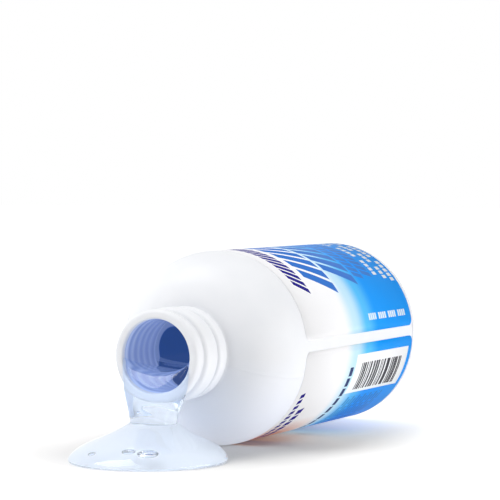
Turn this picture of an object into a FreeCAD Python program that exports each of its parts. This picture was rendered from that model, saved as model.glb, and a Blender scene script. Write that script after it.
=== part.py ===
"""An open round bottle lying on its side, with thick gel running out of its mouth into a puddle.

Millimetres, +Z up. The bottle's axis lies along Y, with the mouth towards -Y and the base towards +Y.
The origin is on the floor, under the middle of the whole thing. Places along the bottle are measured
from the rim of its mouth.
"""
import FreeCAD, Part
import math
import os

Vector = FreeCAD.Vector

# Bottle body, a blow-moulded shell with a shallow panel for the labels
overall_length = 107.5
body_diameter = 50.0
wall = 1.1
base_wall = 1.4
heel_radius = 4.0
heel_steps = 3
heel_land = 0.7
standing_ring_width = 4.5
push_up_depth = 2.4
push_up_slope_width = 2.5
panel_recess = 0.2

# Shoulder, a dome between neck and body
shoulder_height = 15.0
shoulder_land = 1.3
shoulder_crown_share = 0.88
shoulder_flank_share = 0.82
shoulder_inside_steps = 3
neck_root_chamfer = 1.2

# Neck finish for a 24 mm screw closure, from the rim down
bore_diameter = 18.6
neck_wall = 1.45
rim_bevel = 0.5
lip_ring_height = 2.6
lip_ring_rise = 0.85
upper_groove_height = 2.6
thread_band_height = 5.2
thread_band_rise = 1.05
lower_groove_height = 1.8
bead_height = 3.6
bead_rise = 0.85

# Two film labels, glued into the panel
label_thickness = 0.12
adhesive_thickness = 0.03
label_edge_room = 0.4
label_gap = 2.9
label_corner_radius = 2.0
label_turn = -2.3

# Thick gel: what is left inside, the stream over the lip, and the puddle
gel_wall_gap = 0.05
gel_level_below_axis = 4.0
curtain_top_thickness = 0.9
curtain_thickness = 3.6
stream_lip_thickness = 6.0
stream_lip_width = 13.4
stream_drop = 4.0
stream_waist_diameter = 10.8
stream_steps = 10
puddle_ahead_of_rim = 3.6
puddle_diameter = 37.6
puddle_edge_height = 2.0
puddle_edge_chamfer = 1.2
puddle_foot_undercut = 0.6

# Radii, worked out from the sizes above
body_radius = body_diameter / 2
panel_radius = body_radius - panel_recess
inner_radius = panel_radius - wall
bore_radius = bore_diameter / 2
neck_radius = bore_radius + neck_wall
lip_radius = neck_radius + lip_ring_rise
ring_outer_radius = body_radius - heel_radius
ring_inner_radius = ring_outer_radius - standing_ring_width
waist_radius = stream_waist_diameter / 2
puddle_radius = puddle_diameter / 2

# Places along the bottle, from the rim
thread_band_start = lip_ring_height + upper_groove_height
bead_start = thread_band_start + thread_band_height + lower_groove_height
neck_length = bead_start + bead_height + neck_root_chamfer
shoulder_end = neck_length + shoulder_height
panel_start = shoulder_end + shoulder_land
panel_end = overall_length - heel_radius - heel_land

# Places on the floor, and heights over it
rim_y = (puddle_ahead_of_rim + puddle_radius - overall_length) / 2
puddle_y = rim_y - puddle_ahead_of_rim
axis_height = body_radius
gel_level = axis_height - gel_level_below_axis
lip_bottom = axis_height - lip_radius
puddle_height = lip_bottom - stream_drop

flat_across_quarter_arc = 2 - math.sqrt(2)
bottle_axis = Vector(0, 1, 0)
upright_axis = Vector(0, 0, 1)
origin = Vector(0, 0, 0)


def at(radius, along):
    """Point of a profile that is turned about the bottle's axis."""
    return Vector(radius, along, 0)


def line(start, end):
    return Part.LineSegment(start, end).toShape()


def arc(start, via, end):
    return Part.Arc(start, via, end).toShape()


def arc_about(centre, start, end):
    """Shorter arc of a circle from start to end."""
    radius = (start - centre).Length
    middle = centre + ((start - centre) + (end - centre)).normalize() * radius
    return arc(start, middle, end)


def dome(start, end):
    """Shoulder of two arcs and their common tangent, from square to the bottle's axis to along it."""
    crown = shoulder_crown_share * (end.x - start.x)
    flank = shoulder_flank_share * (end.y - start.y)
    crown_centre = at(start.x, start.y + crown)
    flank_centre = at(end.x - flank, end.y)
    between = flank_centre - crown_centre
    slope = math.atan2(between.y, between.x) - math.acos((crown - flank) / between.Length)
    outward = at(math.cos(slope), math.sin(slope))
    crown_end = crown_centre + outward * crown
    flank_start = flank_centre + outward * flank
    return [arc_about(crown_centre, start, crown_end), line(crown_end, flank_start),
            arc_about(flank_centre, flank_start, end)]


def steps_along(edges, count):
    """Points that divide a run of edges into equal straight steps."""
    return Part.Wire(edges).discretize(count + 1)


def straight_edges(points):
    return Part.makePolygon(points).Edges


def turned(edges, axis, angle=360):
    """Solid of revolution of a closed profile."""
    outline = Part.Wire(Part.__sortEdges__(edges))
    return Part.Face(outline).revolve(origin, axis, angle)


def laid_down(shape):
    """Move a shape from the bottle's own axis to its place over the floor."""
    shape.translate(Vector(0, rim_y, axis_height))
    return shape


def neck_ring(rise, start, height):
    """Outline of a raised ring with slanted flanks on the neck."""
    radius = neck_radius + rise
    end = start + height
    return [at(neck_radius, start), at(radius, start + rise), at(radius, end - rise), at(neck_radius, end)]


def neck_outline():
    """Outer profile of the neck: lip, thread band at the thread's full diameter, bead and root."""
    points = [at(bore_radius, rim_bevel), at(bore_radius + rim_bevel, 0),
              at(lip_radius - rim_bevel, 0), at(lip_radius, rim_bevel),
              at(lip_radius, lip_ring_height - lip_ring_rise), at(neck_radius, lip_ring_height)]
    points += neck_ring(thread_band_rise, thread_band_start, thread_band_height)
    points += neck_ring(bead_rise, bead_start, bead_height)
    points.append(at(neck_radius + neck_root_chamfer, neck_length))
    return straight_edges(points)


def push_up(base):
    """Points of the hollow in the base, from the standing ring up its slanted wall and to the axis."""
    top = base - push_up_depth
    return [at(ring_inner_radius, base), at(ring_inner_radius - push_up_slope_width, top), at(0, top)]


def body_outline():
    """Outer profile from the root of the neck over shoulder, panel and heel to the middle of the base."""
    points = [at(body_radius, shoulder_end), at(body_radius, panel_start), at(panel_radius, panel_start),
              at(panel_radius, panel_end), at(body_radius, panel_end)]
    heel_start = at(body_radius, overall_length - heel_radius)
    heel_end = at(ring_outer_radius, overall_length)
    heel = arc_about(at(heel_end.x, heel_start.y), heel_start, heel_end)
    points += steps_along([heel], heel_steps) + push_up(overall_length)
    return dome(at(neck_radius + neck_root_chamfer, neck_length), points[0]) + straight_edges(points)


def inside_space(gap=0.0):
    """Solid that fills the bottle's inside up to the rim, drawn in from the walls by a gap."""
    bore = bore_radius - gap
    radius = inner_radius - gap
    root = neck_root_chamfer + wall
    roof = neck_length + wall + gap
    floor = overall_length - base_wall - gap
    heel = (heel_radius - wall) * flat_across_quarter_arc
    points = [at(0, 0), at(bore, 0), at(bore, roof - root)]
    points += steps_along(dome(at(bore + root, roof), at(radius, shoulder_end)), shoulder_inside_steps)
    points += [at(radius, floor - heel), at(radius - heel, floor)] + push_up(floor)
    return turned(straight_edges(points + [at(0, 0)]), bottle_axis)


def make_bottle():
    """Shell between the outer profile and the inside, open at the rim."""
    edges = neck_outline() + body_outline()
    edges.append(line(at(0, overall_length - push_up_depth), at(0, rim_bevel)))
    edges.append(line(at(0, rim_bevel), at(bore_radius, rim_bevel)))
    return laid_down(turned(edges, bottle_axis).cut(inside_space()))


def make_label(turn):
    """Film wrapped round a little less than half of the panel, with rounded corners."""
    inner = panel_radius + adhesive_thickness
    outer = inner + label_thickness
    start = panel_start + label_edge_room
    end = panel_end - label_edge_room
    sweep = 180 - math.degrees(label_gap / outer)
    corners = [at(inner, start), at(outer, start), at(outer, end), at(inner, end), at(inner, start)]
    film = turned(Part.makePolygon(corners).Edges, bottle_axis, sweep)
    across = [edge for edge in film.Edges if abs(edge.Length - label_thickness) < label_thickness / 10]
    film = film.makeFillet(label_corner_radius, across)
    film.rotate(origin, bottle_axis, turn - sweep / 2 - 90)
    return laid_down(film)


def make_gel_in_bottle():
    """Gel that has come to rest in the lying bottle and its neck, with a level top."""
    below_level = Part.makeBox(body_diameter, overall_length, gel_level, Vector(-body_radius, rim_y, 0))
    return laid_down(inside_space(gel_wall_gap)).common(below_level)


def stream_section(height, width, front, back):
    """Closed section of the stream at one height: straight steps round half an ellipse, and a flat back."""
    points = []
    for number in range(stream_steps + 1):
        turn = math.pi * number / stream_steps
        points.append(Vector(width / 2 * math.cos(turn), back + (front - back) * math.sin(turn), height))
    return Part.makePolygon(points + points[:1])


def make_gel_stream(bottle):
    """Curtain from the gel's level in the mouth, down over the lip and in to a round waist."""
    halfway = (gel_level + lip_bottom) / 2
    top_width = 2 * math.sqrt(bore_radius ** 2 - gel_level_below_axis ** 2)
    halfway_width = 2 * math.sqrt(lip_radius ** 2 - (axis_height - halfway) ** 2)
    sections = [
        stream_section(gel_level, top_width, rim_y - curtain_top_thickness, rim_y),
        stream_section(halfway, halfway_width, rim_y - curtain_thickness, rim_y),
        stream_section(lip_bottom, stream_lip_width, rim_y - stream_lip_thickness, rim_y),
        stream_section(puddle_height, stream_waist_diameter, puddle_y - waist_radius, puddle_y),
    ]
    return Part.makeLoft(sections, True, True).cut(bottle)


def make_gel_puddle():
    """Round pool: a low cone up to the waist of the stream, with a bevelled rim on a flat foot."""
    edge = Vector(puddle_radius, 0, puddle_edge_height)
    top = Vector(waist_radius, 0, puddle_height)
    foot = Vector(puddle_radius - puddle_foot_undercut, 0, 0)
    points = [origin, foot, edge - upright_axis * puddle_edge_chamfer,
              edge + (top - edge).normalize() * puddle_edge_chamfer, top, Vector(0, 0, puddle_height), origin]
    puddle = turned(straight_edges(points), upright_axis)
    puddle.translate(Vector(0, puddle_y, 0))
    return puddle


bottle = make_bottle()
pieces = {
    "bottle": bottle,
    "front_label": make_label(label_turn),
    "back_label": make_label(label_turn + 180),
    "gel_in_bottle": make_gel_in_bottle(),
    "gel_stream": make_gel_stream(bottle),
    "gel_puddle": make_gel_puddle(),
}

os.makedirs("parts", exist_ok=True)
for name, shape in pieces.items():
    shape.exportStep("parts/" + name + ".step")
    print(name, "volume", round(shape.Volume, 1), "valid", shape.isValid(), shape.BoundBox)
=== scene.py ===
"""Looks of an open round bottle that lies on its side, with thick clear gel running out into a puddle.

Metres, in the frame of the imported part: +Z up, the bottle's axis along Y, its mouth towards -Y. Places along
the bottle are measured from the rim of its mouth. Angles round it run from straight up towards +X.
"""
import math

import bmesh
import bpy
from mathutils import Matrix, Vector


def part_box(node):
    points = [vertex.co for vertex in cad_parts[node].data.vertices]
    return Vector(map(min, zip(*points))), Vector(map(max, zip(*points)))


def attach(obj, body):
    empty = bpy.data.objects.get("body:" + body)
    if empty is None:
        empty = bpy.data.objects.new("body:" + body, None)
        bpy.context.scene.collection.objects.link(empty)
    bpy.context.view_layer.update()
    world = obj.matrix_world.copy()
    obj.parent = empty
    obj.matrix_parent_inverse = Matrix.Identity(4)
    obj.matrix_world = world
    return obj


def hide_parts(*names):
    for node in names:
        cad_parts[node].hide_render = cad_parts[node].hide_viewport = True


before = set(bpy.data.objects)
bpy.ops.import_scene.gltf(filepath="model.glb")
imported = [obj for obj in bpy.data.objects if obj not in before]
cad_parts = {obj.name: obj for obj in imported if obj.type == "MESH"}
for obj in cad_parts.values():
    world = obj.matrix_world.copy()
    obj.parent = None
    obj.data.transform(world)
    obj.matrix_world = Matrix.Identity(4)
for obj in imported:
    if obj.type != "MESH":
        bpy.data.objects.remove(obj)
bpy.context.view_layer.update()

MM = 0.001

# Places and main sizes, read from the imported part
bottle_low, bottle_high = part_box("bottle")
label_low, label_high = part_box("front_label")
puddle_low, puddle_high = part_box("gel_puddle")
rim_y = bottle_low.y
bottle_length = bottle_high.y - bottle_low.y
body_radius = (bottle_high.z - bottle_low.z) / 2
axis_height = (bottle_high.z + bottle_low.z) / 2
label_start = label_low.y - rim_y
label_length = label_high.y - label_low.y
label_radius = label_high.z - axis_height
puddle_radius = (puddle_high.x - puddle_low.x) / 2
puddle_ahead = rim_y - (puddle_high.y + puddle_low.y) / 2

# Body of the bottle, along its axis and across it
wall = 1.1 * MM
base_wall = 1.4 * MM
heel_radius = 4.0 * MM
standing_ring_width = 4.5 * MM
standing_ring_rounding = 0.8 * MM
push_up_depth = 2.4 * MM
push_up_slope = 2.5 * MM
push_up_rounding = 1.2 * MM
panel_recess = 0.2 * MM
label_edge_room = 0.4 * MM
shoulder_start = 17.0 * MM
shoulder_end = 32.0 * MM
shoulder_steps = 24
parting_angle = math.radians(105)
parting_height = 0.05 * MM
parting_width = 0.3 * MM
round_steps = 144

# Neck, from the rim down
neck_radius = 10.75 * MM
neck_root = 1.2 * MM
bore_radius = 9.3 * MM
bore_start = 1.2 * MM
bore_end = shoulder_start - 1.2 * MM
ring_radius = 11.6 * MM
lip_height = 2.6 * MM
band_radius = 11.8 * MM
band_start = 5.0 * MM
band_end = 10.5 * MM
bead_start = 12.1 * MM
bead_end = 15.7 * MM
ring_flank = 0.2 * MM

# Labels: each covers a little less than half of the panel
label_film = 0.12 * MM
label_corner = 2.0 * MM
front_label_edge = math.radians(84.42)
back_label_edge = math.radians(91.04)
label_sweep = math.radians(173.38)
label_width = label_sweep * label_radius

# Gel
gel_ior = 1.36


def colour(code):
    """Linear colour of an sRGB hex code."""
    parts = [int(code[i:i + 2], 16) / 255 for i in (1, 3, 5)]
    return [p / 12.92 if p <= 0.04045 else ((p + 0.055) / 1.055) ** 2.4 for p in parts] + [1.0]


def add(tree, kind, inputs=(), **settings):
    """Add a node with its settings; each input is a value, or a socket to link from."""
    node = tree.nodes.new("ShaderNode" + kind)
    for name, value in settings.items():
        setattr(node, name, value)
    for name, value in dict(inputs).items():
        if isinstance(value, bpy.types.NodeSocket):
            tree.links.new(value, node.inputs[name])
        else:
            node.inputs[name].default_value = value
    return node


def set_stops(ramp, first, *between, last):
    """Give a ramp its (position, sRGB code) stops."""
    stops = ramp.color_ramp.elements
    for stop, (position, code) in zip(stops, (first, last)):
        stop.position = position
        stop.color = colour(code)
    for position, code in between:
        stops.new(position).color = colour(code)


def new_material(name):
    """Empty node material, and its tree and output."""
    material = bpy.data.materials.new(name)
    material.use_nodes = True
    tree = material.node_tree
    tree.nodes.clear()
    return material, tree, tree.nodes.new("ShaderNodeOutputMaterial")


def finish_surface(tree, output, shader):
    tree.links.new(shader.outputs[0], output.inputs["Surface"])


def rounded(corners, steps=6):
    """Outline through (along, across, rounding) corners, with an arc at each corner that has a rounding."""
    points = []
    for number, (along, across, rounding) in enumerate(corners):
        here = Vector((along, across))
        if rounding == 0:
            points.append(here)
            continue
        to_last = (Vector(corners[number - 1][:2]) - here).normalized()
        to_next = (Vector(corners[number + 1][:2]) - here).normalized()
        half = to_last.angle(to_next) / 2
        centre = here + (to_last + to_next).normalized() * (rounding / math.sin(half))
        arm = here + to_last * (rounding / math.tan(half)) - centre
        turn = math.pi - 2 * half
        side = 1 if to_last.x * to_next.y - to_last.y * to_next.x < 0 else -1
        for step in range(steps + 1):
            points.append(centre + Matrix.Rotation(side * turn * step / steps, 2) @ arm)
    return points


def dome(start_along, start_across, end_along, end_across):
    """Quarter of an ellipse, square to the axis at its start and along it at its end."""
    points = []
    for step in range(shoulder_steps + 1):
        turn = math.pi / 2 * step / shoulder_steps
        points.append(Vector((start_along + (end_along - start_along) * (1 - math.cos(turn)),
                              start_across + (end_across - start_across) * math.sin(turn))))
    return points


def on_axis(along, across, angle):
    """Point at an angle round the bottle."""
    return Vector((across * math.sin(angle), rim_y + along, axis_height + across * math.cos(angle)))


def turn_outline(mesh, points, material):
    """Turn an outline about the bottle's axis, and give the new faces a material slot."""
    verts = [mesh.verts.new(on_axis(p.x, p.y, parting_angle)) for p in points]
    edges = [mesh.edges.new(pair) for pair in zip(verts, verts[1:])]
    old = set(mesh.faces)
    bmesh.ops.spin(mesh, geom=verts + edges, cent=(0, 0, axis_height), axis=(0, 1, 0), angle=math.tau,
                   steps=round_steps, use_merge=True)
    for face in mesh.faces:
        if face not in old:
            face.material_index = material
            face.smooth = True


def cut_across(mesh, place, normal):
    """Cut all faces along a plane."""
    bmesh.ops.bisect_plane(mesh, geom=mesh.verts[:] + mesh.edges[:] + mesh.faces[:], dist=1e-7,
                           plane_co=place, plane_no=normal)


def make_object(name, mesh, *materials):
    """Object of a finished mesh, at the origin."""
    data = bpy.data.meshes.new(name)
    mesh.to_mesh(data)
    mesh.free()
    made = bpy.data.objects.new(name, data)
    bpy.context.scene.collection.objects.link(made)
    for material in materials:
        data.materials.append(material)
    return made


def smooth_step(value, low, high):
    """0 up to the low value, 1 from the high one on, and an easy rise between them."""
    share = min(1.0, max(0.0, (value - low) / (high - low)))
    return share * share * (3 - 2 * share)


# Materials


def white_hdpe():
    """Blow-moulded white HDPE: opaque, satin gloss, with the faint ripple of a blown skin.

    The lower part gets a painted cooler white, a painted glow for the light that comes through the thin wall
    and the gel behind it.
    """
    material, tree, output = new_material("white_hdpe")
    ripple_mm = 6.0
    grain_mm = 0.5
    blue_glow_from = 24 * MM
    blue_glow_to = 8 * MM
    place = add(tree, "TexCoord").outputs["Object"]
    ripple = add(tree, "TexNoise", {"Vector": place, "Scale": 1 / (ripple_mm * MM), "Detail": 2.0})
    grain = add(tree, "TexNoise", {"Vector": place, "Scale": 1 / (grain_mm * MM), "Detail": 2.0})
    height = add(tree, "Math", {0: ripple.outputs["Fac"], 1: 0.85, 2: grain.outputs["Fac"]},
                 operation="MULTIPLY_ADD")
    bump = add(tree, "Bump", {"Height": height.outputs[0], "Strength": 0.05, "Distance": 0.2 * MM})
    roughness = add(tree, "MapRange", {"Value": ripple.outputs["Fac"], "To Min": 0.34, "To Max": 0.44})
    skin = add(tree, "Mix", {"Factor": ripple.outputs["Fac"], "A": colour("#EAECF0"), "B": colour("#F0F1F4")},
               data_type="RGBA")
    parts = add(tree, "SeparateXYZ", {0: place})
    # painted glow: cooler white towards the bottom, in place of light through the wall and the gel
    painted_blue_glow = add(tree, "MapRange", {"Value": parts.outputs["Z"], "From Min": blue_glow_from, "From Max": blue_glow_to})
    tone = add(tree, "Mix", {"Factor": painted_blue_glow.outputs[0], "A": skin.outputs["Result"], "B": colour("#EEF2FC")},
               data_type="RGBA")
    shader = add(tree, "BsdfPrincipled", {"Base Color": tone.outputs["Result"],
                                          "Roughness": roughness.outputs[0], "IOR": 1.54,
                                          "Specular IOR Level": 0.15, "Normal": bump.outputs[0]})
    finish_surface(tree, output, shader)
    return material


def from_painted_shade_patch(tree, place):
    """How far a place lies from a patch of painted deep shade on the wall, towards the neck and up: 1 at the
    patch's edge.
    """
    middle = (0, rim_y + 50.5 * MM, axis_height - 2.3 * MM)
    radius_along = 6.3 * MM
    radius_up = 5.6 * MM
    from_middle = add(tree, "VectorMath", {0: place, 1: middle}, operation="SUBTRACT")
    towards_neck = add(tree, "VectorMath", {0: from_middle.outputs[0], 1: (1, 0, 1)}, operation="MINIMUM")
    and_up = add(tree, "VectorMath", {0: towards_neck.outputs[0], 1: (-1, -1, 0)}, operation="MAXIMUM")
    in_radii = add(tree, "VectorMath", {0: and_up.outputs[0], 1: (0, 1 / radius_along, 1 / radius_up)},
                   operation="MULTIPLY")
    reach = add(tree, "VectorMath", {0: in_radii.outputs[0]}, operation="LENGTH")
    return reach.outputs["Value"]


def wet_inside_painted_light():
    """Inside of the thin blow-moulded wall, wet with gel, with a painted glow for the light that comes through
    it.

    Painted shade darkens it with depth: pale and ringed with painted shade in the neck, deep blue past the
    neck inside a patch, and held pale outside that patch.
    """
    material, tree, output = new_material("wet_hdpe_inside_painted_light")
    shaded_depth = 40 * MM
    ringed_depth = 16 * MM
    streak_mm = 5.0
    streak_strength = 0.06
    ring_mm = 2.9
    wave_period = math.tau / 20
    gel_top = 21 * MM
    gel_deep = 18 * MM
    glow_under_gel = 0.25
    wall_glow = 0.5
    place = add(tree, "TexCoord").outputs["Object"]
    parts = add(tree, "SeparateXYZ", {0: place})
    # painted shade: the wall darkens with depth from the rim
    depth = add(tree, "MapRange", {"Value": parts.outputs["Y"], "From Min": rim_y,
                                   "From Max": rim_y + shaded_depth})
    streaks = add(tree, "TexNoise", {"Vector": place, "Scale": 1 / (streak_mm * MM), "Detail": 3.0})
    streaked = add(tree, "Math", {0: streaks.outputs["Fac"], 1: streak_strength, 2: depth.outputs[0]},
                   operation="MULTIPLY_ADD")
    # painted shade: the deep wall is deep blue only inside the patch and stays pale outside it
    limit = add(tree, "MapRange", {"Value": from_painted_shade_patch(tree, place), "From Min": 0.9, "From Max": 1.1,
                                   "To Min": 0.7, "To Max": 0.45}, interpolation_type="SMOOTHSTEP")
    shade = add(tree, "Math", {0: streaked.outputs[0], 1: limit.outputs[0]}, operation="MINIMUM")
    ramp = add(tree, "ValToRGB", {"Fac": shade.outputs[0]})
    set_stops(ramp, (0.02, "#B9C4DC"), (0.14, "#98A8C8"), (0.44, "#8C9EC4"), (0.50, "#4D6BAC"),
              last=(0.58, "#33538C"))
    # painted shade: darker blue rings over the ripples of the neck's wall
    rings = add(tree, "TexWave", {"Vector": place, "Scale": wave_period / (ring_mm * MM), "Distortion": 3.0,
                                  "Detail": 2.0, "Detail Scale": 0.5}, bands_direction="Y")
    in_neck = add(tree, "Math", {0: depth.outputs[0], 1: ringed_depth / shaded_depth}, operation="LESS_THAN")
    painted_ring_shade = add(tree, "Math", {0: rings.outputs["Fac"], 1: in_neck.outputs[0]}, operation="MULTIPLY")
    tone = add(tree, "Mix", {"Factor": painted_ring_shade.outputs[0], "A": ramp.outputs["Color"], "B": colour("#7B8CB8")},
               data_type="RGBA")
    # painted glow: the wall gives off its own light, more in the neck under the gel level
    under_gel = add(tree, "MapRange", {"Value": parts.outputs["Z"], "From Min": gel_top, "From Max": gel_deep,
                                       "To Max": glow_under_gel})
    light = add(tree, "Math", {0: under_gel.outputs[0], 1: in_neck.outputs[0], 2: wall_glow},
                operation="MULTIPLY_ADD")
    shader = add(tree, "BsdfPrincipled", {"Base Color": tone.outputs["Result"], "Roughness": 0.12, "IOR": 1.5,
                                          "Emission Color": tone.outputs["Result"],
                                          "Emission Strength": light.outputs[0]})
    finish_surface(tree, output, shader)
    return material


def clear_gel():
    """Thick water-based gel: clear, wet and faintly blue."""
    material, tree, output = new_material("clear_blue_gel")
    shader = add(tree, "BsdfPrincipled", {"Base Color": colour("#DEEBFC"), "Roughness": 0.03, "IOR": gel_ior,
                                          "Transmission Weight": 1.0})
    finish_surface(tree, output, shader)
    return material


def air_in_gel():
    """Air bubbles in the gel: the step from gel to air bends light the other way."""
    material, tree, output = new_material("air_bubble")
    shader = add(tree, "BsdfPrincipled", {"Base Color": colour("#F4F8FF"), "Roughness": 0.0,
                                          "IOR": 1 / gel_ior, "Transmission Weight": 1.0})
    finish_surface(tree, output, shader)
    return material


class Print:
    """Colour of a printed label, built up in layers of ink. Places are millimetres from its corner."""

    def __init__(self, tree):
        self.tree = tree
        uv = add(tree, "UVMap")
        size_mm = (label_width / MM, label_length / MM, 1)
        place = add(tree, "Mapping", {"Vector": uv.outputs[0], "Scale": size_mm})
        parts = add(tree, "SeparateXYZ", {0: place.outputs[0]})
        self.round = parts.outputs["X"]
        self.along = parts.outputs["Y"]
        self.colour = None

    def within(self, value, low, high):
        """1 where a place lies between two others."""
        middle = (low + high) / 2
        node = add(self.tree, "Math", {0: value, 1: middle, 2: (high - low) / 2}, operation="COMPARE")
        return node.outputs[0]

    def times(self, *masks):
        """1 where all masks are 1."""
        result = masks[0]
        for mask in masks[1:]:
            result = add(self.tree, "Math", {0: result, 1: mask}, operation="MULTIPLY").outputs[0]
        return result

    def area(self, round_from, round_to, along_from, along_to):
        """1 on a rectangle of the label."""
        return self.times(self.within(self.round, round_from, round_to),
                          self.within(self.along, along_from, along_to))

    def leaned(self, slant):
        """Place round the bottle, on lines that lean along it."""
        node = add(self.tree, "Math", {0: self.along, 1: slant, 2: self.round}, operation="MULTIPLY_ADD")
        return node.outputs[0]

    def bars(self, place, start, count, pitch, gap):
        """Row of plain bars: 1 on a bar, 0 in the gaps and past the ends."""
        moved = add(self.tree, "Math", {0: place, 1: start}, operation="SUBTRACT")
        share = add(self.tree, "Math", {0: moved.outputs[0], 1: pitch}, operation="FLOORED_MODULO")
        on_bar = add(self.tree, "Math", {0: share.outputs[0], 1: pitch - gap}, operation="LESS_THAN")
        return self.times(on_bar.outputs[0], self.within(place, start, start + count * pitch - gap))

    def groups(self, place, start, count, each, pitch, gap):
        """Bars in groups, with the room of one bar between the groups."""
        return self.times(self.bars(place, start, count * each, pitch, gap),
                          self.bars(place, start, count, each * pitch, pitch + gap))

    def rows_of_blocks(self, length, row, gap):
        """Rows of blocks, laid like bricks: 1 on a block, 0 in the gaps."""
        flat = add(self.tree, "CombineXYZ", {"X": self.round, "Y": self.along})
        bricks = add(self.tree, "TexBrick", {"Vector": flat.outputs[0], "Scale": 1.0, "Mortar Size": gap,
                                             "Brick Width": length, "Row Height": row},
                     offset=0.37, squash=0.7)
        return add(self.tree, "Math", {0: 1.0, 1: bricks.outputs["Fac"]}, operation="SUBTRACT").outputs[0]

    def ink(self, mask, code, strength=1.0):
        """Lay one ink over what is there."""
        share = add(self.tree, "Math", {0: mask, 1: strength}, operation="MULTIPLY")
        mixed = add(self.tree, "Mix", {"Factor": share.outputs[0], "A": self.colour, "B": colour(code)},
                    data_type="RGBA")
        self.colour = mixed.outputs["Result"]

    def fade(self):
        """White at the neck, through cyan to full blue at the base."""
        share = add(self.tree, "MapRange", {"Value": self.along, "From Max": label_length / MM})
        ramp = add(self.tree, "ValToRGB", {"Fac": share.outputs[0]})
        ramp.color_ramp.interpolation = "EASE"
        set_stops(ramp, (0.34, "#FDFDFF"), (0.45, "#C6E9FC"), (0.56, "#55BFFB"), last=(0.67, "#009CFF"))
        self.colour = ramp.outputs["Color"]


def satin_film(tree, output, print_colour):
    """Satin plastic film over the print: even and soft, and a little wavy where it was smoothed on."""
    wave_mm = 14.0
    place = add(tree, "TexCoord").outputs["Object"]
    waves = add(tree, "TexNoise", {"Vector": place, "Scale": 1 / (wave_mm * MM), "Detail": 1.0})
    bump = add(tree, "Bump", {"Height": waves.outputs["Fac"], "Strength": 0.06, "Distance": 0.3 * MM})
    roughness = add(tree, "MapRange", {"Value": waves.outputs["Fac"], "To Min": 0.30, "To Max": 0.40})
    shader = add(tree, "BsdfPrincipled", {"Base Color": print_colour, "Roughness": roughness.outputs[0],
                                          "IOR": 1.5, "Specular IOR Level": 0.01, "Normal": bump.outputs[0]})
    finish_surface(tree, output, shader)


def front_label_film():
    """Front label: blue fade, with rows of plain slanted blocks and groups of small white bars."""
    material, tree, output = new_material("printed_film_front")
    label = Print(tree)
    label.fade()
    # Rows of blocks: from and to along the label, slant, first block, count, pitch, gap and ink
    for low, high, slant, start, count, pitch, gap, code in (
            (4.5, 11.0, 0.5, 17.6, 22, 2.2, 0.64, "#35308F"),
            (13.8, 27.3, 0.45, 23.8, 11, 4.4, 1.2, "#3E78CE"),
            (28.8, 42.3, 0.45, 32.4, 10, 4.4, 1.2, "#3E78CE"),
            (43.6, 48.4, 0.3, 29.5, 20, 2.2, 0.6, "#3F7FD6"),
            (49.6, 54.4, 0.3, 31.6, 20, 2.2, 0.6, "#3F7FD6")):
        blocks = label.bars(label.leaned(slant), start, count, pitch, gap)
        label.ink(label.times(label.within(label.along, low, high), blocks), code)
    # Rows of small bars: place along the label, first bar, number of groups and bars in each
    bar_height = 2.2
    bar_pitch = 1.6
    bar_gap = 0.44
    for low, start, count, each in ((56.4, 16.0, 5, 5), (61.2, 14.5, 7, 4), (65.2, 13.5, 4, 6)):
        row = label.within(label.along, low, low + bar_height)
        bars = label.groups(label.round, start, count, each, bar_pitch, bar_gap)
        label.ink(label.times(row, bars), "#F6FAFE")
    # One more row, along the label's edge
    edge_row = label.within(label.round, 3.0, 4.8)
    edge_bars = label.groups(label.along, 40.2, 4, 5, 1.32, 0.3)
    label.ink(label.times(edge_row, edge_bars), "#EAF6FD", 0.95)
    satin_film(tree, output, label.colour)
    return material


def back_label_film():
    """Back label: blue fade, a peach tint, a white panel with a pattern of bars, and rows of plain dashes."""
    material, tree, output = new_material("printed_film_back")
    label = Print(tree)
    label.fade()
    tint_start = add(tree, "MapRange", {"Value": label.round, "From Min": 21.0, "From Max": 29.0})
    tint_end = add(tree, "MapRange", {"Value": label.round, "From Min": 50.0, "From Max": 38.0})
    near_neck = add(tree, "MapRange", {"Value": label.along, "From Min": 34.0, "From Max": 14.0})
    label.ink(label.times(tint_start.outputs[0], near_neck.outputs[0], tint_end.outputs[0]), "#DDA088", 0.95)
    white_panel = label.area(2.9, 14.4, 31.8, 66.6)
    label.ink(white_panel, "#FBFCFE")
    bar_mm = 1.0
    dark_over = 0.49
    bar_area = label.area(5.4, 13.4, 35.3, 62.8)
    bars = add(tree, "TexNoise", {"W": label.along, "Scale": 1 / bar_mm, "Detail": 1.0},
               noise_dimensions="1D")
    dark = add(tree, "Math", {0: bars.outputs["Fac"], 1: dark_over}, operation="GREATER_THAN")
    label.ink(label.times(bar_area, dark.outputs[0]), "#2E2D36")
    block_area = label.area(16.0, 70.0, 36.0, 60.0)
    label.ink(label.times(block_area, label.rows_of_blocks(6.5, 1.9, 0.35)), "#2C5FA8", 0.5)
    # Rows of dashes: from and to along the label, slant, first dash, count, pitch and ink
    dash_gap = 0.6
    for low, high, slant, start, count, pitch, code in ((28.8, 30.8, 0.0, 6.2, 8, 3.1, "#3F4B76"),
                                                        (2.4, 4.8, 0.2, 12.1, 15, 1.8, "#35308F"),
                                                        (6.8, 9.8, 0.2, 18.3, 9, 2.4, "#35308F")):
        dashes = label.bars(label.leaned(slant), start, count, pitch, dash_gap)
        label.ink(label.times(label.within(label.along, low, high), dashes), code)
    satin_film(tree, output, label.colour)
    return material


def eye_rays(tree):
    """1 for what the eye sees, straight or by way of a gloss or clear surface, and 0 for light on its way."""
    path = add(tree, "LightPath")
    seen = path.outputs["Is Camera Ray"]
    for way in ("Is Glossy Ray", "Is Transmission Ray"):
        seen = add(tree, "Math", {0: seen, 1: path.outputs[way]}, operation="MAXIMUM").outputs[0]
    return seen


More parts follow.
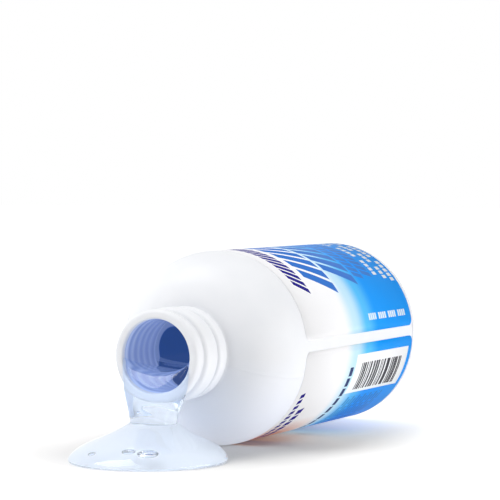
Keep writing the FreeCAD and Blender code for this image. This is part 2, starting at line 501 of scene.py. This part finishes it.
def white_floor():
    """Matt white light table: it lights gel and bottle from below, takes the shadow, and runs out to white;
    seen straight on, its glow is held down round the bottle as a painted shadow.
    """
    material, tree, output = new_material("light_table_painted_shadow")
    shade_start = rim_y + 18 * MM
    shade_end = rim_y + 40 * MM
    own_glow = 0.23
    place = add(tree, "TexCoord").outputs["Object"]
    parts = add(tree, "SeparateXYZ", {0: place})
    along = add(tree, "Clamp", {"Value": parts.outputs["Y"], "Min": shade_start, "Max": shade_end})
    nearest = add(tree, "CombineXYZ", {"Y": along.outputs[0]})
    distance = add(tree, "VectorMath", {0: place, 1: nearest.outputs[0]}, operation="DISTANCE")
    away = distance.outputs["Value"]
    # painted shadow: seen straight on, the glow is lowest next to the bottle and rises with distance from it
    painted_shadow_glow = add(tree, "MapRange", {"Value": away, "From Min": 10 * MM, "From Max": 90 * MM,
                                          "To Max": 0.9}, interpolation_type="SMOOTHSTEP")
    far_off = add(tree, "MapRange", {"Value": away, "From Min": 40 * MM, "From Max": 110 * MM,
                                     "To Max": 0.7}, interpolation_type="SMOOTHSTEP")
    lit = add(tree, "Math", {0: far_off.outputs[0], 1: eye_rays(tree), 2: own_glow}, operation="MULTIPLY_ADD")
    path = add(tree, "LightPath")
    glow = add(tree, "Mix", {"Factor": path.outputs["Is Camera Ray"], "A": lit.outputs[0],
                             "B": painted_shadow_glow.outputs[0]})
    matt = add(tree, "BsdfDiffuse", {"Color": colour("#DCDBDA")})
    light = add(tree, "Emission", {"Color": colour("#FFFFFF"), "Strength": glow.outputs[0]})
    both = add(tree, "AddShader", {0: matt.outputs[0], 1: light.outputs[0]})
    finish_surface(tree, output, both)
    return material


# Bottle


def body_outline():
    """Outside of the body, from the middle of the base over heel and label panel to the shoulder."""
    base = bottle_length
    top = base - push_up_depth
    ring_inner = body_radius - heel_radius - standing_ring_width
    panel = body_radius - panel_recess
    panel_start = label_start - label_edge_room
    panel_end = label_start + label_length + label_edge_room
    edge = 0.08 * MM
    return rounded([(top, 0, 0), (top, ring_inner - push_up_slope, push_up_rounding),
                    (base, ring_inner, standing_ring_rounding), (base, body_radius, heel_radius - edge),
                    (panel_end, body_radius, edge), (panel_end, panel, edge), (panel_start, panel, edge),
                    (panel_start, body_radius, edge), (shoulder_end, body_radius, 0)])


def neck_ring(start, end, radius, rounding, groove_below, groove_above):
    """Corners of a raised ring on the neck, with the roundings of the grooves on its two sides."""
    return [(end + ring_flank, neck_radius, groove_below), (end, radius, rounding),
            (start, radius, rounding), (start - ring_flank, neck_radius, groove_above)]


def neck_outline():
    """Outside of the neck, from its root over bead, thread band and lip to the inner edge of the rim."""
    root_rounding = neck_root * 0.8
    narrow_groove = 0.2 * MM
    wide_groove = 0.3 * MM
    ring_rounding = 0.7 * MM
    band_rounding = 0.8 * MM
    lip_rounding = 0.9 * MM
    bore_rounding = 0.5 * MM
    root = [(shoulder_start, neck_radius + neck_root, 0), (shoulder_start, neck_radius, root_rounding)]
    bead = neck_ring(bead_start, bead_end, ring_radius, ring_rounding, narrow_groove, narrow_groove)
    band = neck_ring(band_start, band_end, band_radius, band_rounding, narrow_groove, wide_groove)
    lip = [(lip_height + ring_flank, neck_radius, wide_groove), (lip_height, ring_radius, ring_rounding),
           (0, ring_radius, lip_rounding), (0, bore_radius, bore_rounding), (bore_start, bore_radius, 0)]
    return rounded(root + bead + band + lip)


def outer_outline():
    """Outside of the bottle, from the middle of the base to the inner edge of the rim."""
    shoulder = dome(shoulder_start, neck_radius + neck_root, shoulder_end, body_radius)
    return body_outline() + shoulder[-2::-1] + neck_outline()[1:]


def inner_outline():
    """Inside of the bottle, from just inside the rim to the middle of the base."""
    ripple_height = 0.1 * MM
    ripple_length = 2.6 * MM
    ripple_from = 2 * MM
    ripple_full = 5 * MM
    ripple_steps = 40
    bend_rounding = 1.8 * MM
    ripples = []
    for step in range(ripple_steps + 1):
        along = bore_start + (bore_end - bore_start) * step / ripple_steps
        swell = ripple_height * math.sin(math.tau * along / ripple_length)
        swell *= smooth_step(along, ripple_from, ripple_full)
        ripples.append(Vector((along, bore_radius + swell)))
    root = bore_radius + neck_root + wall
    roof = shoulder_start + wall
    inner = body_radius - panel_recess - wall
    floor = bottle_length - base_wall
    top = floor - push_up_depth
    ring_inner = body_radius - heel_radius - standing_ring_width
    bend = rounded([(bore_end, bore_radius, 0), (roof, bore_radius, bend_rounding), (roof, root, 0)])
    end = rounded([(shoulder_end, inner, 0), (floor, inner, heel_radius - wall),
                   (floor, ring_inner, standing_ring_rounding),
                   (top, ring_inner - push_up_slope, push_up_rounding), (top, 0, 0)])
    return ripples + bend[1:-1] + dome(roof, root, shoulder_end, inner) + end[1:]


def cut_thread(mesh):
    """Sink the thread's helical groove into the band on the neck. The band stays smooth on the +X side."""
    pitch = 3.0 * MM
    groove_depth = 0.75 * MM
    groove_width = 0.75 * MM
    band_floor = neck_radius + 0.4 * MM
    smooth_from = math.radians(20)
    # Shares of a turn from that angle
    sinks_in = (0.42, 0.55)
    runs_out = (0.88, 1.0)
    for vert in mesh.verts:
        side = Vector((vert.co.x, vert.co.z - axis_height))
        along = vert.co.y - rim_y
        if side.length < band_floor or not band_start - MM < along < band_end + MM:
            continue
        turn = (math.atan2(side.x, side.y) - smooth_from) % math.tau / math.tau
        depth = groove_depth * smooth_step(turn, *sinks_in) * (1 - smooth_step(turn, *runs_out))
        middle = (band_start + band_end) / 2 + pitch * (0.5 - turn)
        groove = math.exp(-((along - middle) / groove_width) ** 2)
        side *= 1 - depth * groove / side.length
        vert.co.x = side.x
        vert.co.z = side.y + axis_height


def raise_parting_line(mesh):
    """Raise the fine seam that the two halves of the mould leave along the bottle and across its base."""
    across = Vector((math.cos(parting_angle), 0, -math.sin(parting_angle)))
    centre = Vector((0, 0, axis_height))
    for offset in (-parting_width / 2, parting_width / 2):
        cut_across(mesh, centre + across * offset, across)
    mesh.normal_update()
    for vert in mesh.verts:
        outside = all(face.material_index == 0 for face in vert.link_faces)
        past_neck = vert.co.y > rim_y + shoulder_start
        if outside and past_neck and abs((vert.co - centre).dot(across)) < 1e-6:
            vert.co += vert.normal * parting_height


def make_bottle():
    """Shell of an outside and an inside that meet in the bore, with close rings in the thread band."""
    mesh = bmesh.new()
    ring_spacing = 0.4 * MM
    corners = outer_outline()
    outline = corners[:1]
    for start, end in zip(corners, corners[1:]):
        if band_start < end.x < start.x < band_end:
            count = int((start.x - end.x) / ring_spacing)
            outline += [start.lerp(end, step / count) for step in range(1, count)]
        outline.append(end)
    turn_outline(mesh, outline, 0)
    turn_outline(mesh, inner_outline(), 1)
    bmesh.ops.remove_doubles(mesh, verts=mesh.verts, dist=1e-6)
    bmesh.ops.recalc_face_normals(mesh, faces=mesh.faces)
    cut_thread(mesh)
    raise_parting_line(mesh)
    bottle = make_object("bottle_shell", mesh, white_hdpe(), wet_inside_painted_light())
    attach(bottle, "root")
    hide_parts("bottle")


# Labels


def make_label(name, edge, direction, material):
    """Film cut to a rectangle with round corners, then wrapped round the bottle from its edge by the gap."""
    mesh = bmesh.new()
    strips = 90
    bmesh.ops.create_grid(mesh, x_segments=1, y_segments=1, size=0.5)
    to_size = Matrix.Diagonal((label_width, label_length, 1, 1))
    to_corner = Matrix.Translation((label_width / 2, label_length / 2, 0))
    bmesh.ops.transform(mesh, verts=mesh.verts, matrix=to_corner @ to_size)
    bmesh.ops.bevel(mesh, geom=mesh.verts[:], offset=label_corner, affect="VERTICES", segments=6, profile=0.5,
                    material=-1)
    for strip in range(1, strips):
        cut_across(mesh, (label_width * strip / strips, 0, 0), (1, 0, 0))
    uv = mesh.loops.layers.uv.new("flat")
    for face in mesh.faces:
        face.smooth = True
        for loop in face.loops:
            loop[uv].uv = (loop.vert.co.x / label_width, loop.vert.co.y / label_length)
    for vert in mesh.verts:
        vert.co = on_axis(label_start + vert.co.y, label_radius, edge + direction * vert.co.x / label_radius)
    bmesh.ops.recalc_face_normals(mesh, faces=mesh.faces)
    first = next(iter(mesh.faces))
    centre = first.calc_center_median()
    if first.normal.dot(centre - Vector((0, centre.y, axis_height))) < 0:
        bmesh.ops.reverse_faces(mesh, faces=mesh.faces)
    label = make_object(name + "_film", mesh, material)
    skin = label.modifiers.new("film_thickness", "SOLIDIFY")
    skin.thickness = label_film
    skin.offset = -1
    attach(label, "root")
    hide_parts(name)


# Gel, in millimetres ahead of the rim and over the bottle's axis


def ring(mesh, front, sides, back, half_width, limit=None):
    """Closed ring of the gel across its flow, through three (ahead, height) places, inside a radius."""
    count = 32
    verts = []
    for step in range(count):
        turn = math.tau * step / count
        reach = math.cos(turn)
        arm = (Vector(front) - Vector(sides)) if reach > 0 else (Vector(sides) - Vector(back))
        place = Vector(sides) + arm * reach
        x = half_width * math.sin(turn)
        z = place.y
        size = math.hypot(x, z)
        if limit and size > limit:
            x *= limit / size
            z *= limit / size
        verts.append(mesh.verts.new((x * MM, rim_y - place.x * MM, axis_height + z * MM)))
    return [mesh.edges.new((verts[i], verts[(i + 1) % count])) for i in range(count)]


def inside_ring(mesh, along, level, dip, radius):
    """Ring of the gel where it lies in the bottle, wetting the wall, with a hollow top."""
    half_width = math.sqrt(radius ** 2 - level ** 2)
    return ring(mesh, (-along, level - dip), (-along, level), (-along, -radius), half_width, radius)


def rings_in_bottle(mesh):
    """Rings from the base to the rim. They reach a little into the wall, so that no air shows between."""
    into_wall = 0.2
    level = -4.0
    dip = 0.1
    inner = (body_radius - panel_recess - wall) / MM + into_wall
    bore = bore_radius / MM + into_wall
    rings = []
    # Along the bottle, and how far the shoulder and the heel draw the wall in
    for along, drawn_in in ((102.5, 0.6), (101.5, 0), (70, 0), (40, 0), (32, 0.2), (26, 2.2), (21.5, 6.2),
                            (19.2, 9.8)):
        rings.append(inside_ring(mesh, along, level, dip, inner - drawn_in))
    # Along the neck, height at the wall, and dip in the middle
    for along, at_wall, hollow in ((17.6, -3.7, 0.4), (14, -3.1, 0.9), (9, -2.2, 1.7), (5, -1.1, 2.7),
                                   (2.0, -0.1, 3.7), (0.4, 0.4, 4.2)):
        rings.append(inside_ring(mesh, along, at_wall, hollow, bore))
    return rings


def rings_over_lip(mesh):
    """Rings that follow the gel over the lower lip and down to its waist."""
    return [
        ring(mesh, (1.3, -5.2), (-0.4, -0.6), (-0.7, -10.3), 9.4),
        ring(mesh, (2.6, -7.4), (-0.3, -4.0), (-0.9, -11.0), 9.4),
        ring(mesh, (3.8, -9.8), (0.3, -8.8), (-1.1, -12.2), 8.5),
        ring(mesh, (4.8, -12.2), (0.8, -11.8), (-1.8, -13.2), 7.2),
        ring(mesh, (5.7, -14.2), (0.9, -14.0), (-3.2, -14.4), 6.4),
        ring(mesh, (6.3, -15.6), (0.9, -15.6), (-4.2, -15.7), 6.0),
        ring(mesh, (6.6, -16.0), (0.9, -15.9), (-4.6, -16.0), 6.0),
        ring(mesh, (7.1, -16.2), (0.9, -16.1), (-4.9, -16.2), 6.4),
    ]


def rings_in_puddle(mesh):
    """Rings from the waist out to the rim of the puddle and in under its foot."""
    ahead = puddle_ahead / MM
    floor = -axis_height / MM
    wide = puddle_radius / MM
    rings = []
    # How far the ring's middle lies behind the puddle's, its radius, and its height over the floor
    for behind, radius, height in ((2.4, 7.3, 8.2), (1.6, 10.3, 6.5), (1.1, 13.4, 5.2), (0.9, 16.5, 3.9),
                                   (0.3, 18.5, 2.4), (0.0, wide + 0.6, 1.2), (-0.1, wide + 0.8, 0.5),
                                   (0.0, wide + 0.3, 0.0), (0.0, wide - 0.2, 0.0)):
        z = floor + height
        middle = ahead - behind
        rings.append(ring(mesh, (middle + radius, z), (middle, z), (middle - radius, z), radius))
    return rings


def make_gel():
    """One body of gel: from the base through the neck, over the lower lip to a waist, and out as a puddle."""
    mesh = bmesh.new()
    rings = rings_in_bottle(mesh) + rings_over_lip(mesh) + rings_in_puddle(mesh)
    for first, second in zip(rings, rings[1:]):
        bmesh.ops.bridge_loops(mesh, edges=first + second)
    for end in (rings[0], rings[-1]):
        bmesh.ops.edgeloop_fill(mesh, edges=end)
    bmesh.ops.recalc_face_normals(mesh, faces=mesh.faces)
    for face in mesh.faces:
        face.smooth = True
    gel = make_object("gel", mesh, clear_gel())
    soft = gel.modifiers.new("flow", "SUBSURF")
    soft.levels = 2
    soft.render_levels = 2
    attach(gel, "root")
    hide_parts("gel_in_bottle", "gel_stream", "gel_puddle")


def make_bubbles():
    """Air caught in the gel: flat bubbles under the skin of the puddle, and one in the stream."""
    mesh = bmesh.new()
    # To the side, along the bottle from its rim, over the floor, width and height
    for x, along, height, across, tall in ((-7.0, -18.0, 2.6, 2.0, 1.0), (2.5, -17.2, 3.6, 3.4, 1.0),
                                           (7.0, -16.2, 3.2, 5.2, 1.6), (-2.6, -3.0, 11.4, 1.3, 0.8)):
        place = Vector((x * MM, rim_y + along * MM, height * MM))
        size = Matrix.Diagonal((across * MM / 2, across * MM / 2, tall * MM / 2, 1))
        bmesh.ops.create_icosphere(mesh, subdivisions=3, radius=1.0, matrix=Matrix.Translation(place) @ size)
    for face in mesh.faces:
        face.smooth = True
    bubbles = make_object("air_bubbles", mesh, air_in_gel())
    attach(bubbles, "root")


# Studio


def make_stage():
    """White room, and a table a little inside the wet foot of the puddle so that no air shows under it."""
    mesh = bmesh.new()
    half_table = 4.0
    lift = 0.05 * MM
    room_light = 0.26
    bmesh.ops.create_grid(mesh, x_segments=1, y_segments=1, size=half_table,
                          matrix=Matrix.Translation((0, 0, lift)))
    make_object("floor", mesh, white_floor())
    world = bpy.data.worlds.new("studio")
    bpy.context.scene.world = world
    world.use_nodes = True
    tree = world.node_tree
    tree.nodes.clear()
    level = add(tree, "MapRange", {"Value": eye_rays(tree), "To Min": room_light, "To Max": 1.0})
    room = add(tree, "Background", {"Color": colour("#FFFFFF"), "Strength": level.outputs[0]})
    output = tree.nodes.new("ShaderNodeOutputWorld")
    finish_surface(tree, output, room)


def add_lamp(name, place, size, power):
    """Soft box that faces the bottle's shoulder."""
    data = bpy.data.lights.new(name, "AREA")
    data.shape = "RECTANGLE"
    data.size, data.size_y = size
    data.energy = power
    lamp = bpy.data.objects.new(name, data)
    target = Vector((0, rim_y + shoulder_end, axis_height))
    lamp.location = place
    lamp.rotation_euler = (target - Vector(place)).to_track_quat("-Z", "Y").to_euler()
    bpy.context.scene.collection.objects.link(lamp)


def make_lamps():
    """Large soft box high on the left, a small one in front on the left and a low, wide one on the right."""
    add_lamp("soft_box_left", (-0.32, -0.22, 0.70), (0.5, 0.5), 4.6)
    add_lamp("soft_box_front", (-0.30, -0.58, 0.20), (0.3, 0.3), 0.8)
    add_lamp("soft_box_right", (0.58, 0.08, 0.13), (0.6, 0.22), 2.2)


def make_camera():
    """Long lens at the photograph's place, fitted to the mouth, the neck's rings and the labels' ends."""
    focal_pixels = 2150.18
    frame_pixels = 500
    from_mouth = Vector((256.4, -455.1, 43.56)) * MM
    tilt = math.radians(88.08)
    pan = math.radians(26.87)
    data = bpy.data.cameras.new("camera")
    data.sensor_width = 36.0
    data.lens = data.sensor_width * focal_pixels / frame_pixels
    data.clip_start = 0.01
    camera = bpy.data.objects.new("camera", data)
    camera.location = Vector((0, rim_y, axis_height)) + from_mouth
    camera.rotation_euler = (tilt, 0, pan)
    bpy.context.scene.collection.objects.link(camera)
    bpy.context.scene.camera = camera


make_camera()
make_bottle()
make_label("front_label", front_label_edge, -1, front_label_film())
make_label("back_label", back_label_edge, 1, back_label_film())
make_gel()
make_bubbles()
make_stage()
make_lamps()
bpy.context.scene.view_settings.view_transform = "Standard"
